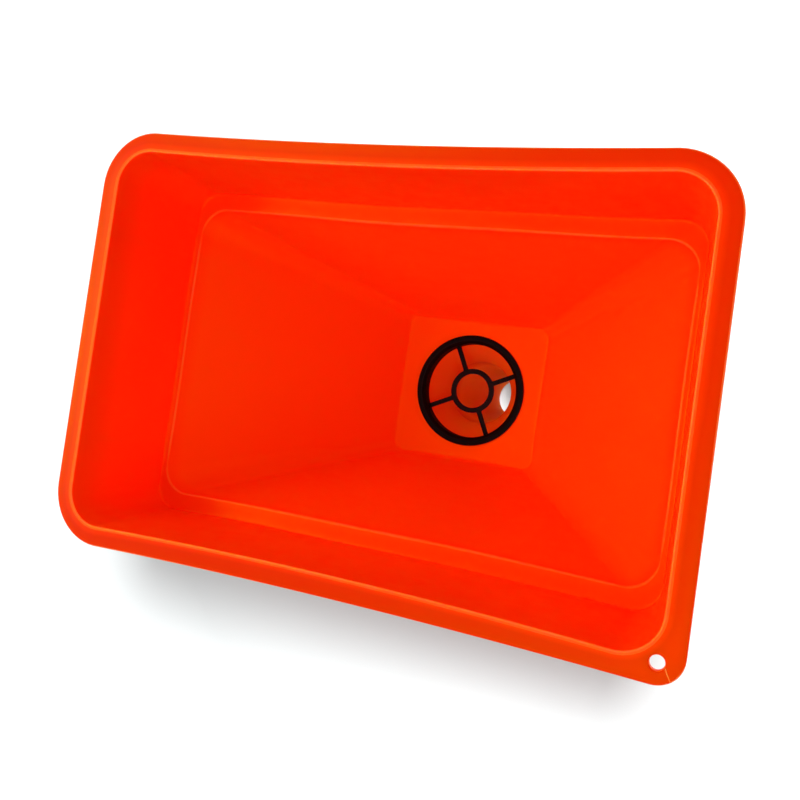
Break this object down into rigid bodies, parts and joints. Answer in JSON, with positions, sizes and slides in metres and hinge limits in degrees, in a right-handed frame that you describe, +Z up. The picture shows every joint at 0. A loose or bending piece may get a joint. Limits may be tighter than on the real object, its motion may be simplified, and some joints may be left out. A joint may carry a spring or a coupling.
{
  "type": "oil drain pan",
  "caption": "Deep rectangular funnel-form oil drain pan with a rolled flange, ledge, hopper, spout and a lift-out round strainer.",
  "frame": {"origin": "centre of the spout's open end, on the drain axis", "axes": "+Z up the drain axis, out of the mouth; +X along the pan's long side; the hang hole is at the +X, -Y corner"},
  "size_m": [0.5526, 0.3734, 0.55],
  "materials": {
    "pan_plastic": "semi-gloss moulded orange polyethylene",
    "strainer_plastic": "matte black moulded polypropylene"
  },
  "bodies": {
    "pan": {"pan": "pan_plastic"},
    "strainer": {"strainer": "strainer_plastic"}
  },
  "joints": [
    {"name": "strainer_lift", "type": "slide", "parent": "pan", "child": "strainer", "axis": [0, 0, 1], "range_m": [0, 0.36]}
  ]
}
